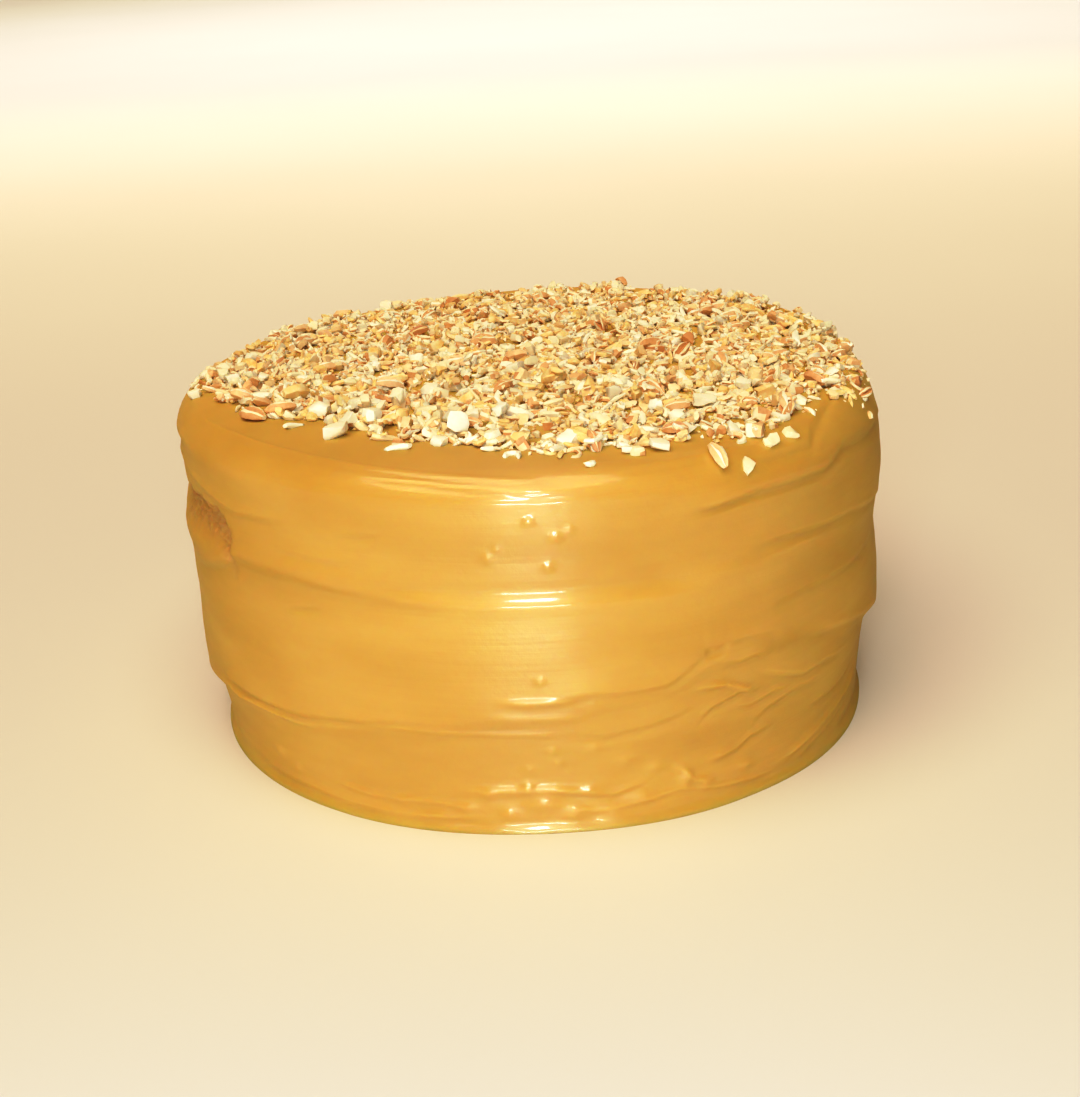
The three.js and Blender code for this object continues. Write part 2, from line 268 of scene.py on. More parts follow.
def shoulder(angle):
    """The shoulder at each angle: its start's height and radius, how far it rises, and how far it goes in."""
    drop = round_the_cake(SHOULDER_DROP, angle)
    start = round_the_cake(RIM_HEIGHT, angle) - drop
    return start, wall_radius(angle, start), drop, round_the_cake(SHOULDER_IN, angle)


def top_height(angle, share):
    """The crown's height, running to the rim's by the square of the share of the way out."""
    return CROWN_HEIGHT + (round_the_cake(RIM_HEIGHT, angle) - CROWN_HEIGHT) * share**2


def icing_height(x, y):
    """Height of the bare icing over a point: the top's inside the rim, the shoulder's quarter turn beyond."""
    angle = np.degrees(np.arctan2(x, -y))
    radius = np.hypot(x, y)
    start, outer, drop, inward = shoulder(angle)
    rim = outer - inward
    turn = np.arccos(np.clip(1 - (outer - radius) / inward, 0, 1))
    return np.where(radius <= rim, top_height(angle, radius / rim), start + drop * np.sin(turn))


def waves(angle, height, count, tall, wide, out):
    """A sum of sine waves, about tall from crest to crest up the surface, whose crests wander up and down
    about once in wide degrees. Together they move the surface by about out.
    """
    total = np.zeros(np.broadcast(angle, height).shape)
    for _ in range(count):
        length = tall * rng.uniform(0.7, 1.4)
        turns = np.round(rng.uniform(0.4, 1.6) * 360 / wide)
        phase, drift = rng.uniform(0, 2 * np.pi, 2)
        bend = rng.uniform(0.3, 0.9) * np.sin(np.radians(turns * angle) + drift)
        swell = 0.6 + 0.4 * np.sin(np.radians(np.round(turns * 0.6) * angle) + drift * 2)
        total += swell * np.sin(2 * np.pi * height / length + phase + 2 * bend)
    return out * total / np.sqrt(count)


def above_line(angle, height, at, level):
    """How far above a line of angles and levels a point lies, measured square to the line's slope."""
    slope = np.interp(angle, (at[1:] + at[:-1]) / 2, np.diff(level) / np.diff(at)) / np.radians(SIDE_RADIUS)
    return (height - np.interp(angle, at, level)) / np.hypot(1, slope)


def knife_mark(angle, height, lap, reach, ridge, groove, width, path):
    """How far one mark moves the surface: a lap above its line, a bead on it, a furrow under it.

    The line runs straight from point to point. All three fade out at both ends, over a third of it at most.
    """
    at, level = np.array(path, float).T
    middle = (at[0] + at[-1]) / 2
    angle = away(angle, middle) + middle
    distance = above_line(angle, height, at, level)
    fading = min(MARK_FADE * (1 + width), (at[-1] - at[0]) / 3)
    fade = ease((angle - at[0]) / fading) * ease((at[-1] - angle) / fading)
    proud = lap * ease(distance / (2 * width) + 0.5) * np.exp(-np.maximum(distance, 0) / reach)
    bead = ridge * bell(distance - BEAD_ABOVE * width, width)
    furrow = groove * bell(distance + FURROW_BELOW * width, FURROW_WIDE * width)
    return fade * (proud + bead - furrow)


def hidden_marks():
    """Knife marks like those of the front for the sides and back: each starts at random and wanders on."""
    marks = []
    for i in range(HIDDEN_MARKS):
        start = HIDDEN_FROM + HIDDEN_SPAN * (i + rng.uniform(-0.4, 0.4)) / HIDDEN_MARKS
        steps = rng.integers(3, 6)
        at = start + np.cumsum(rng.uniform(9, 16, steps))
        level = rng.uniform(8, 104) + np.cumsum(rng.uniform(-3.5, 3.5, steps))
        marks.append((*rng.uniform(HIDDEN_LEAST, HIDDEN_MOST), list(zip(at, level))))
    return marks


def torn_share(angle, height):
    """How far the icing is torn open there, 0 to 1: full along the gouge's line, with a short ragged edge
    above and a long slope below.
    """
    at, level = np.array(GOUGE_PATH, float).T
    middle = at.mean()
    angle = away(angle, middle) + middle
    ragged = 0.6 * np.sin(angle * 0.9) + 0.4 * np.sin(angle * 2.1 + 1)
    over = above_line(angle, height, at, level) + ragged
    ends = ease((angle - at[0]) / GOUGE_LEFT_END) * ease((at[-1] - angle) / GOUGE_RIGHT_END)
    edges = ease((GOUGE_ABOVE - over) / GOUGE_UPPER_EDGE), ease((over + GOUGE_BELOW) / GOUGE_LOWER_EDGE)
    return ends * edges[0] * edges[1]


def gouge(angle, height):
    """The torn hollow on the left, with lumps some 3 mm across inside, and the bulge pushed out under it.

    The lumps are a sum of sine waves that lean across one another and whose phase wanders.
    """
    lumps = 0.0
    for tall, lean in LUMPS:
        run = height * np.cos(lean) + np.radians(angle) * SIDE_RADIUS * np.sin(lean)
        lumps = lumps + LUMPS_OUT * np.sin(2 * np.pi * run / tall + 2 * np.sin(run / 7 + lean) + tall)
    at, wide, level, tall, out = BULGE
    bulge = out * bell(away(angle, at), wide) * bell(height - level, tall)
    return torn_share(angle, height) * (lumps - GOUGE_DEEP) + bulge


def surface_marks(angle, height):
    """Everything that the knife left on the icing, as a distance along the surface's normal."""
    moved = np.zeros(np.broadcast(angle, height).shape)
    for sort in UNEVENNESS:
        moved += waves(angle, height, *sort)
    for mark in KNIFE_MARKS + hidden_marks():
        moved += knife_mark(angle, height, *mark)
    for at, level, wide, tall, out in DABS:
        moved += out * bell(np.radians(away(angle, at)) * SIDE_RADIUS, wide) * bell(height - level, tall)
    moved += gouge(angle, height)
    foot = ease((FOOT_UNEVEN_TO - height) / FOOT_UNEVEN_FADE)
    return moved + foot * waves(angle, height, *FOOT_UNEVENNESS)


def icing_rings():
    """Every ring of the icing, from the foot up and in to the middle of the top, as an array of
    (row, column, xyz), and how far it is torn at each point.

    A wall row is a share of the way up, a shoulder row a share of a quarter turn, a top row a share of the
    way in. Marks move a wall point outward, a top point upward, and a shoulder point at its turn's angle.
    """
    even = np.linspace(-180, 180, COLUMNS, endpoint=False)[None, :]
    angle = even - np.degrees(CLOSER_IN_FRONT * np.sin(np.radians(even)))
    start, outer, drop, inward = shoulder(angle)
    up = np.linspace(0, 1, WALL_ROWS)[:, None]
    wall = (wall_radius(angle, start * up), start * up, start * up, np.zeros_like(start * up))
    turn = np.pi / 2 * np.linspace(0, 1, SHOULDER_ROWS + 1)[1:, None]
    arc = np.hypot(drop, inward) * turn / (np.pi / 2)
    bend = (outer - inward * (1 - np.cos(turn)), start + drop * np.sin(turn), start + arc, turn + 0 * start)
    share = 1 - np.linspace(0, 1, TOP_ROWS + 1)[1:-1, None] ** CLOSER_AT_RIM
    rim = outer - inward
    flat_length = start + np.hypot(drop, inward) + rim * (1 - share)
    flat = (rim * share, top_height(angle, share), flat_length, np.full_like(flat_length, np.pi / 2))
    radius, height, length, lean = (np.vstack(rows) for rows in zip(wall, bend, flat))
    around = np.broadcast_to(angle, radius.shape)
    marks = surface_marks(around, length)
    marks *= ease(length / FOOT_PLAIN) * ease(radius / MIDDLE_PLAIN)
    radius = radius + marks * np.cos(lean)
    height = height + marks * np.sin(lean)
    sweep = np.radians(angle)
    rings = np.stack([radius * np.sin(sweep), -radius * np.cos(sweep), height], axis=-1)
    return rings, torn_share(around, length)


def new_mesh(name, points, faces, face_sizes, sharp_from):
    """A mesh from arrays: points in millimetres, the faces' corners end to end, and how many each has. It is
    smooth but for edges that turn by more than sharp_from degrees.
    """
    mesh = bpy.data.meshes.new(name)
    mesh.vertices.add(len(points))
    mesh.vertices.foreach_set("co", (points * MM).astype(np.float32).ravel())
    mesh.loops.add(len(faces))
    mesh.loops.foreach_set("vertex_index", faces.astype(np.int32))
    mesh.polygons.add(len(face_sizes))
    starts = np.concatenate([[0], np.cumsum(face_sizes)[:-1]])
    mesh.polygons.foreach_set("loop_start", starts.astype(np.int32))
    mesh.update(calc_edges=True)
    mesh.validate()
    mesh.shade_smooth()
    mesh.set_sharp_from_angle(angle=np.radians(sharp_from))
    return mesh


def new_piece(name, mesh, slot, *materials):
    """A finished piece that rides on the one body, with the given materials. The slot is not used."""
    for material in materials:
        mesh.materials.append(material)
    piece = bpy.data.objects.new(name, mesh)
    bpy.context.scene.collection.objects.link(piece)
    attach(piece, "root")
    return piece


def icing_mesh():
    """The rings joined by four-sided faces, closed by fans to the middle of the top and of the base."""
    rings, torn = icing_rings()
    rows, columns, _ = rings.shape
    crown = [0, 0, CROWN_HEIGHT]
    points = np.vstack([rings.reshape(-1, 3), [crown, [0, 0, 0]]])
    column = np.arange(columns)
    beside = (column + 1) % columns
    lower = np.arange(rows - 1)[:, None] * columns
    upper = lower + columns
    walls = np.stack([lower + column, lower + beside, upper + beside, upper + column], axis=-1)
    last = (rows - 1) * columns
    top_fan = np.stack([last + column, last + beside, np.full(columns, rows * columns)], axis=-1)
    base_fan = np.stack([beside, column, np.full(columns, rows * columns + 1)], axis=-1)
    faces = np.concatenate([walls.ravel(), top_fan.ravel(), base_fan.ravel()])
    sizes = np.concatenate([np.full((rows - 1) * columns, 4), np.full(2 * columns, 3)])
    mesh = new_mesh("caramel_icing", points, faces, sizes, ICING_SHARP_FROM)
    torn = np.append(torn.ravel(), [0, 0]).astype(np.float32)
    # The torn share goes to the material, which browns the gouge partly with its own colour and partly with
    # painted shade.
    mesh.attributes.new("torn", "FLOAT", "POINT").data.foreach_set("value", torn)
    return mesh


def linear(hex_colour):
    """An sRGB hex colour as linear RGBA."""
    srgb = np.array([int(hex_colour[i:i + 2], 16) for i in (1, 3, 5)]) / 255
    rgb = np.where(srgb <= 0.04045, srgb / 12.92, ((srgb + 0.055) / 1.055) ** 2.4)
    return (*rgb.tolist(), 1.0)


def add(tree, kind, links=None, settings=None, **values):
    """Adds a node: settings are its properties, values its sockets' constants, links its sockets' sources."""
    node = tree.nodes.new(kind)
    for key, value in (settings or {}).items():
        setattr(node, key, value)
    for key, value in values.items():
        node.inputs[key.replace("_", " ")].default_value = value
    for key, source in (links or {}).items():
        tree.links.new(source, node.inputs[key])
    return node


def new_material(name):
    """An empty node material, its node tree, and the place on the object, in metres, as a socket there."""
    material = bpy.data.materials.new(name)
    material.use_nodes = True
    tree = material.node_tree
    tree.nodes.clear()
    return material, tree, add(tree, "ShaderNodeTexCoord").outputs["Object"]


def surface(tree, links, **values):
    """The material's one shader, joined to its output."""
    shader = add(tree, "ShaderNodeBsdfPrincipled", links, **values)
    add(tree, "ShaderNodeOutputMaterial", {"Surface": shader.outputs["BSDF"]})


def scaled(tree, place, scales):
    """A place stretched by a scale along each axis."""
    return add(tree, "ShaderNodeMapping", {"Vector": place}, Scale=scales).outputs["Vector"]


def noise(tree, place, scale, detail, roughness):
    """Noise with about so many lumps to a unit of place."""
    node = add(tree, "ShaderNodeTexNoise", {"Vector": place}, Scale=scale, Detail=detail, Roughness=roughness)
    return node.outputs["Fac"]


def bump(tree, height, strength, distance, over=None):
    """A normal that a height tilts, on top of another normal where one is given."""
    links = {"Height": height}
    if over is not None:
        links["Normal"] = over
    return add(tree, "ShaderNodeBump", links, Strength=strength, Distance=distance).outputs["Normal"]


def maths(tree, operation, first, second):
    """The sum or product of two sockets, or of a socket and a number."""
    node = add(tree, "ShaderNodeMath", {0: first}, {"operation": operation})
    if isinstance(second, float):
        node.inputs[1].default_value = second
    else:
        tree.links.new(second, node.inputs[1])
    return node.outputs[0]


def ramp(tree, source, stops):
    """A colour ramp through stops of (position, hex colour)."""
    node = add(tree, "ShaderNodeValToRGB", {"Fac": source})
    steps = node.color_ramp.elements
    while len(steps) < len(stops):
        steps.new(0.5)
    for step, (position, colour) in zip(steps, stops):
        step.position = position
        step.color = linear(colour)
    return node.outputs["Color"]


def caramel_icing_material():
    """Cooked caramel icing, spread warm with a knife: a dense, slightly see-through sugar with a glassy skin.

    The eye gets a soft sheen drawn out across the knife's level strokes, small hard glints on its furrows,
    and edges that glow where light gets through. Seen edge-on the skin is duller and its glassy coat fades,
    so that the sides keep their own colour. Furrows are about 2 mm apart; the mottling is some 45 mm across
    and 17 mm high. Where the icing is torn it is pebbly, with grains of 2 to 3 mm, and browner: partly its
    own colour and partly painted shade of the hollow.
    """
    material, tree, place = new_material("cooked_caramel_icing")
    furrows = noise(tree, scaled(tree, place, (14, 14, 480)), 1.0, 2.5, 0.5)
    mottle = noise(tree, scaled(tree, place, (22, 22, 60)), 1.0, 3.0, 0.55)
    pits = noise(tree, place, 520.0, 2.0, 0.6)
    pebbles = noise(tree, place, 380.0, 2.0, 0.6)
    torn = add(tree, "ShaderNodeAttribute", settings={"attribute_name": "torn"}).outputs["Fac"]
    whole = ramp(tree, mottle, [(0.3, "#CCA657"), (0.5, "#D1AC5D"), (0.72, "#D6B364")])
    # Torn icing is mixed to a browner colour: partly its own, partly painted shade of the gouge's hollow.
    shown = add(tree, "ShaderNodeMix", {0: torn, 6: whole}, {"data_type": "RGBA"})
    shown.inputs[7].default_value = linear("#C79C5E")
    pebbly = bump(tree, maths(tree, "MULTIPLY", pebbles, torn), 0.6, 0.0012)
    furrowed = bump(tree, furrows, 0.2, 0.0006, over=pebbly)
    pitted = bump(tree, pits, 0.25, 0.0002, over=furrowed)
    strokes = add(tree, "ShaderNodeVectorMath", {1: place}, {"operation": "CROSS_PRODUCT"})
    strokes.inputs[0].default_value = (0, 0, 1)
    edge_on = add(tree, "ShaderNodeLayerWeight").outputs["Facing"]
    coat = add(tree, "ShaderNodeMapRange", {"Value": edge_on},
               From_Min=0.2, From_Max=0.62, To_Min=0.8, To_Max=0.05).outputs["Result"]
    rough = add(tree, "ShaderNodeMapRange", {"Value": mottle}, To_Min=0.38, To_Max=0.46).outputs["Result"]
    duller = add(tree, "ShaderNodeMapRange", {"Value": edge_on},
                 From_Min=0.3, From_Max=0.75, To_Max=0.55).outputs["Result"]
    surface(tree, {"Base Color": shown.outputs[2], "Roughness": maths(tree, "ADD", rough, duller),
                   "Normal": pitted, "Tangent": strokes.outputs["Vector"], "Coat Weight": coat},
            IOR=1.46, Specular_IOR_Level=0.8, Anisotropic=0.8, Anisotropic_Rotation=0.25,
            Subsurface_Weight=0.6, Subsurface_Radius=(1.0, 0.35, 0.1), Subsurface_Scale=0.007,
            Coat_Roughness=0.11, Coat_IOR=1.45)
    return material


def tone_with_grain(tree, grain, share):
    """A nut's own tone plus a share of the grain's height."""
    tone = add(tree, "ShaderNodeAttribute", settings={"attribute_name": "tone"}).outputs["Fac"]
    return maths(tree, "ADD", tone, maths(tree, "MULTIPLY", grain, share))


def pecan_flesh_material():
    """Broken pecan flesh: pale, oily and a little waxy, so it takes a soft sheen and glows at thin edges.

    Each bit has its own tone, from cream to toasted tan, under a mottling about 1.5 mm across.
    """
    material, tree, place = new_material("pecan_flesh")
    grain = noise(tree, place, 650.0, 2.0, 0.6)
    toned = tone_with_grain(tree, grain, 0.35)
    colour = ramp(tree, toned, [(0.15, "#FFFBE4"), (0.45, "#FEF6D8"), (0.75, "#FCEAC4"), (1.0, "#F2D6A4")])
    surface(tree, {"Base Color": colour, "Normal": bump(tree, grain, 0.5, 0.0003)}, Roughness=0.45, IOR=1.47,
            Subsurface_Weight=0.4, Subsurface_Radius=(1.0, 0.8, 0.6), Subsurface_Scale=0.0012)
    return material


def pecan_skin_material():
    """The papery skin of a pecan: light amber to brown, mottled every millimetre or so, with a dull shine."""
    material, tree, place = new_material("pecan_skin")
    grain = noise(tree, place, 900.0, 2.0, 0.6)
    toned = tone_with_grain(tree, grain, 0.5)
    colour = ramp(tree, toned, [(0.2, "#F6DBB0"), (0.6, "#EDC593"), (1.0, "#D8A470")])
    surface(tree, {"Base Color": colour, "Normal": bump(tree, grain, 0.4, 0.0003)}, Roughness=0.42, IOR=1.5,
            Subsurface_Weight=0.3, Subsurface_Radius=(1.0, 0.7, 0.5), Subsurface_Scale=0.001)
    return material


def smeared_pecan_material():
    """Pecan bits smeared with the icing: cream to golden, glossy, and mottled every 2 mm or so."""
    material, tree, place = new_material("caramel_smeared_pecan")
    blotch = noise(tree, place, 450.0, 2.0, 0.5)
    colour = ramp(tree, blotch, [(0.3, "#F4D08E"), (0.55, "#F8DDA4"), (0.7, "#FBEAC0")])
    surface(tree, {"Base Color": colour}, Roughness=0.35, IOR=1.46,
            Subsurface_Weight=0.3, Subsurface_Radius=(1.0, 0.55, 0.25), Subsurface_Scale=0.0015)
    return material


def turned_out(corners, faces):
    """The same faces, each with its corners in the order that turns it away from the shape's middle."""
    turned = []
    for face in faces:
        a, b, c = (corners[i] for i in face[:3])
        outward = np.dot(np.cross(b - a, c - a), a + b + c - 3 * corners.mean(axis=0)) > 0
        turned.append(face if outward else face[::-1])
    return turned


# How blocky a cobble is: 2 is a ball, and more is nearer a cube.
COBBLE_POWER = 3.5


def cobble_shape():
    """A block one unit each way with rounded edges, four faces to a side.

    It is a 3 by 3 by 3 lattice without its middle, drawn in to where |2x|^n + |2y|^n + |2z|^n is 1.
    """
    steps = (-1, 0, 1)
    lattice = [(x, y, z) for x in steps for y in steps for z in steps if (x, y, z) != (0, 0, 0)]
    number = {place: i for i, place in enumerate(lattice)}
    faces = []
    for side in range(3):
        for end in (-1, 1):
            for a in (-1, 0):
                for b in (-1, 0):
                    square = [(a, b), (a + 1, b), (a + 1, b + 1), (a, b + 1)]
                    faces.append(tuple(number[tuple(np.insert(spot, side, end).tolist())] for spot in square))
    corners = np.array(lattice, float)
    sums = np.sum(np.abs(corners) ** COBBLE_POWER, axis=1, keepdims=True)
    corners /= 2 * sums ** (1 / COBBLE_POWER)
    return corners, turned_out(corners, faces)


def crumb_shape():
    """Two four-sided points base to base, one unit across."""
    corners = np.array([(1, 0, 0), (-1, 0, 0), (0, 1, 0), (0, -1, 0), (0, 0, 1), (0, 0, -1)]) / 2
    faces = [(a, b, c) for a in (0, 1) for b in (2, 3) for c in (4, 5)]
    return corners, turned_out(corners, faces)


def bent_bar(turn, radius, half_wide, half_tall):
    """A six-sided bar bent round in plan, capped at both ends. At each turn, in radians, its middle line lies
    at that radius, and its section is six points of an ellipse of that half width and half height.
    """
    out = np.stack([np.cos(turn), np.sin(turn), 0 * turn], axis=-1)[:, None, :]
    around = np.radians(np.arange(0, 360, 60))[None, :, None]
    side = half_wide[:, None, None] * np.cos(around)
    rise = half_tall[:, None, None] * np.sin(around)
    corners = (out * (radius[:, None, None] + side) + np.array([0, 0, 1]) * rise).reshape(-1, 3)
    stations = len(turn)
    faces = [tuple(range(6)), tuple(range(6 * stations - 1, 6 * stations - 7, -1))]
    for i in range(stations - 1):
        for j in range(6):
            k = (j + 1) % 6
            faces.append((6 * i + j, 6 * i + 6 + j, 6 * i + 6 + k, 6 * i + k))
    return corners - corners.mean(axis=0), oriented_like_volume(corners, faces)


def curl_shape():
    """A slice cut across a pecan half: a bar bent to a C of 200 degrees, pinched where the groove runs.

    Its width swells by a sine towards the middle of each lobe and draws in at the ends.
    """
    turn = np.radians(np.linspace(-100, 100, 8))
    half_wide = 0.08 + 0.07 * np.abs(np.sin(turn * 1.6))
    return bent_bar(turn, 0.36 - 0.07 * bell(turn, 0.45), half_wide, 0.16 + 0.3 * half_wide)


def sliver_shape():
    """A splinter of pecan, thick in its middle and drawn in at both ends, bent over 70 degrees."""
    turn = np.radians(np.linspace(-35, 35, 5))
    half = 0.12 + 0.13 * np.cos(turn * 2.2)
    return bent_bar(turn + np.pi / 2, np.full(5, 0.85), half, half)


def boat_shape():
    """A broken quarter of a pecan: two long ridges with a groove between, drawn in at both ends over a keel.

    It is a grid of stations along its length and seven points across. Each point's height follows an M-shaped
    section, scaled by the half-ellipse that the plan follows.
    """
    stations = 7
    across = np.array([-0.5, -0.42, -0.24, 0, 0.24, 0.42, 0.5])
    rise = np.array([0.0, 0.26, 0.3, 0.06, 0.3, 0.26, 0.0])
    along = np.linspace(-0.5, 0.5, stations)
    plan = np.sqrt(np.clip(1 - (along * 1.86) ** 2, 0.1, 1))
    top = np.stack([
        np.broadcast_to(along[:, None], (stations, 7)), 0.55 * plan[:, None] * across, plan[:, None] * rise,
    ], axis=-1)
    keel = np.stack([along, 0 * along, -0.2 * plan], axis=-1)[:, None, :]
    rings = np.concatenate([top, keel], axis=1)
    corners = rings.reshape(-1, 3)
    faces = [tuple(range(8)), tuple(range(8 * stations - 1, 8 * stations - 9, -1))]
    for i in range(stations - 1):
        for j in range(8):
            k = (j + 1) % 8
            faces.append((8 * i + j, 8 * i + k, 8 * i + 8 + k, 8 * i + 8 + j))
    return corners, oriented_like_volume(corners, faces)


def oriented_like_volume(corners, faces):
    """The same faces, all turned round if the volume that they enclose comes out negative."""
    volume = 0.0
    for face in faces:
        for i in range(1, len(face) - 1):
            a, b, c = corners[face[0]], corners[face[i]], corners[face[i + 1]]
            volume += np.dot(a, np.cross(b, c))
    return faces if volume > 0 else [face[::-1] for face in faces]


# Kinds of chopped nut: the shape, how many, shortest and longest, width and thickness as shares of a nut's
# length, how far corners stray as a share of its size, how far nearly all tip from lying flat in degrees, and
# the share of nuts with skin.
NUT_KINDS = {
    "chopped_pecan_crumbs": (crumb_shape, 2300, (1.4, 3), (0.6, 0.95), (0.5, 0.9), 0.14, 40, 0.4),
    "chopped_pecan_chunks": (cobble_shape, 950, (3, 6), (0.6, 0.95), (0.5, 0.85), 0.09, 40, 0.5),
    "chopped_pecan_slivers": (sliver_shape, 1150, (4, 7.5), (0.5, 0.8), (0.5, 0.75), 0.03, 35, 0.3),
    "chopped_pecan_curls": (curl_shape, 1350, (4.2, 7.6), (0.75, 1), (0.5, 0.8), 0.03, 40, 0.7),
    "chopped_pecan_quarters": (boat_shape, 90, (6.5, 10), (0.8, 1.1), (0.7, 1), 0.03, 35, 1),
}
SMEARED_SHARE = 0.2

# The two powers of the beta curves that lengths and tones are drawn from.
LENGTH_CURVE = (1.6, 2.6)
TONE_CURVE = (1.3, 2.2)

# How far a chunk or crumb tapers, and how far from its middle it breaks, as shares of its size.
TAPER = 0.35
BREAK_AT = (0.2, 0.4)

# A face of a chunk or crumb has skin where it faces away from the first break by more than this.
SKIN_FACING = 0.35

# A placed nut's look: the first two are tones of its flesh, and the other two are a finish.
CREAM, TAN, SKINNED, SMEARED = 0.05, 0.5, 2, 3

# The larger nuts of the front edge: x and y, how long, how far turned in degrees, and their look.
FRONT_NUTS = {
    "chopped_pecan_chunks": [
        (-101, -17, 5, 0, CREAM), (-91, -8, 5.5, 10, CREAM), (-61, -48, 7, 5, CREAM),
        (-56, -57, 4.5, 30, CREAM), (-54, -69, 7, 0, CREAM), (-51, -62, 5.5, 50, CREAM),
        (-50, -46, 5.5, -20, CREAM), (-45, -44, 5, 10, CREAM), (-54, -44, 5.5, 60, SMEARED),
        (-44, -61, 6.5, 20, CREAM), (-36, -59, 6, 80, SMEARED), (-29, -56, 7.5, 0, TAN),
        (-36, -79, 4, 0, SKINNED), (-25, -80, 5.5, 50, CREAM), (-20, -72, 8, 10, CREAM),
        (-17, -61, 6, 30, CREAM), (-29, -33, 6.5, 0, CREAM), (10, -86, 6.5, 60, CREAM),
        (15, -102, 3.4, 0, CREAM), (34, -91, 6.4, 10, CREAM), (28, -94, 4.5, 20, SKINNED),
        (55, -78, 6, 75, CREAM), (65, -83, 5, 60, TAN), (57, -92, 5, 0, SKINNED),
        (50, -56, 7.5, 5, CREAM), (67, -50, 7, 30, SMEARED), (42, -78, 5.5, 30, CREAM),
        (71, -77, 5, 30, SKINNED), (62, -43, 5.5, 0, CREAM), (35, -65, 5, 0, CREAM),
    ],
    "chopped_pecan_slivers": [
        (-86, -35, 4, 80, TAN), (-81, -30, 9, 0, CREAM), (-67, -57, 6.5, 40, CREAM),
        (-36, -83, 7, 0, CREAM), (-4, -62, 10, -25, CREAM), (7, -91, 6, 40, CREAM),
        (30, -80, 8.5, -15, CREAM), (61, -81, 5.5, 80, CREAM),
    ],
    "chopped_pecan_curls": [
        (-5, -93, 7, 70, CREAM), (19, -84, 7, 0, CREAM), (17, -90, 7, -40, CREAM), (25, -92, 8, 10, CREAM),
        (70, -68, 7.5, -70, CREAM), (63, -66, 5, 0, TAN),
    ],
    "chopped_pecan_quarters": [
        (-80, -46, 9, -35, TAN), (-72, -45, 9, 10, TAN), (-41, -31, 8, 0, CREAM), (49, -94, 8, -50, CREAM),
    ],
}

# The height grid that the nuts settle on: its cell and how far out it runs.
CELL = 0.5
REACH = 112

# How a nut settles: its foot's radius as a share of its size and at the least, then as shares of how tall it
# stands how far its middle rests over the level, the dome's top over its middle, and the dome's fall.
FOOT_SHARE = 0.36
FOOT_LEAST = 0.7
RESTS_AT = 0.3
DOME_TOP = 0.45
DOME_FALL = 0.4

# How tall a nut stands as a share of its shape's height, and a front nut's tip as a share of the others'.
STANDING_SHARE = 0.9
FRONT_TIP_SHARE = 0.4

# The ragged edge of the nuts' cover: how far in and out, how many times round, and how far turned.
RAGGED = [(2.2, 11, 40), (1.6, 23, 0)]

# How far inside that edge a kind keeps, as a share of its shortest, over how far the nuts thin out there, how
# far past it a few strays lie, and their share.
EDGE_MARGIN = 0.2
THINNING = 7
STRAY_PAST = 5
STRAY_SHARE = 0.06


def scattered(count, margin):
    """Places spread at random over the nuts' cover, thinner just inside its ragged edge and with a few strays
    past it. The edge is drawn in by the margin.
    """
    places = np.zeros((0, 2))
    while len(places) < count:
        x, y = rng.uniform(-REACH, REACH, (2, 4 * count))
        angle = np.degrees(np.arctan2(x, -y))
        ragged = sum(out * np.sin(np.radians(angle * times + turned)) for out, times, turned in RAGGED)
        inside = round_the_cake(NUT_EDGE, angle) + ragged - np.hypot(x, y) - margin
        keep = rng.uniform(size=x.shape) < ease(STRAY_SHARE + inside / THINNING)
        places = np.vstack([places, np.stack([x, y], -1)[keep & (inside > -STRAY_PAST)]])
    return places[:count]


def rotation(axis, angle):
    """Matrices that turn by each angle about one of the axes 0, 1 and 2."""
    matrix = np.zeros((len(angle), 3, 3))
    i, j = [k for k in range(3) if k != axis]
    matrix[:, axis, axis] = 1
    matrix[:, i, i] = np.cos(angle)
    matrix[:, j, j] = np.cos(angle)
    sign = -1 if axis == 1 else 1
    matrix[:, i, j] = -np.sin(angle) * sign
    matrix[:, j, i] = np.sin(angle) * sign
    return matrix


def turning(yaw, tip, roll, normal):
    """Rotation of each nut: rolled, tipped and turned by yaw, then laid on the slope under it."""
    side = np.cross([0, 1, 0], normal)
    side /= np.linalg.norm(side, axis=1, keepdims=True)
    slope = np.stack([side, np.cross(normal, side), normal], axis=-1)
    return slope @ rotation(2, yaw) @ rotation(0, tip) @ rotation(1, roll)


def settle(nuts):
    """Drops the nuts one by one on a grid of heights that starts as the bare icing and rises under each.

    A nut's middle rests above the level under it, which is halfway from the mean height there to the one that
    70% of the cells are under. Then it raises those cells to a dome. The front nuts come last. Gives each
    nut's height and the normal of the bare icing there.
    """
    line = np.arange(-REACH, REACH + CELL, CELL)
    gx, gy = np.meshgrid(line, line, indexing="ij")
    heights = icing_height(gx, gy)
    slope_x, slope_y = np.gradient(heights, CELL)
    rest = np.zeros(len(nuts["x"]))
    normal = np.zeros((len(rest), 3))
    order = rng.permutation(len(rest))
    for k in order[np.argsort(nuts["front"][order], kind="stable")]:
        x, y = nuts["x"][k], nuts["y"][k]
        foot = max(FOOT_LEAST, FOOT_SHARE * nuts["size"][k, :2].mean())
        thick = nuts["stands"][k]
        i, j = int((x + REACH) / CELL), int((y + REACH) / CELL)
        span = int(foot / CELL) + 1
        window = np.s_[max(0, i - span):i + span + 1, max(0, j - span):j + span + 1]
        near = np.hypot(gx[window] - x, gy[window] - y) / foot
        under = heights[window][near < 1]
        level = 0.5 * under.mean() + 0.5 * np.sort(under)[int(0.7 * (len(under) - 1))]
        rest[k] = level + RESTS_AT * thick
        dome = np.maximum(heights[window], rest[k] + thick * (DOME_TOP - DOME_FALL * near**2))
        heights[window] = np.where(near < 1, dome, heights[window])
        normal[k] = (-slope_x[i, j], -slope_y[i, j], 1)
    return rest, normal / np.linalg.norm(normal, axis=1, keepdims=True)


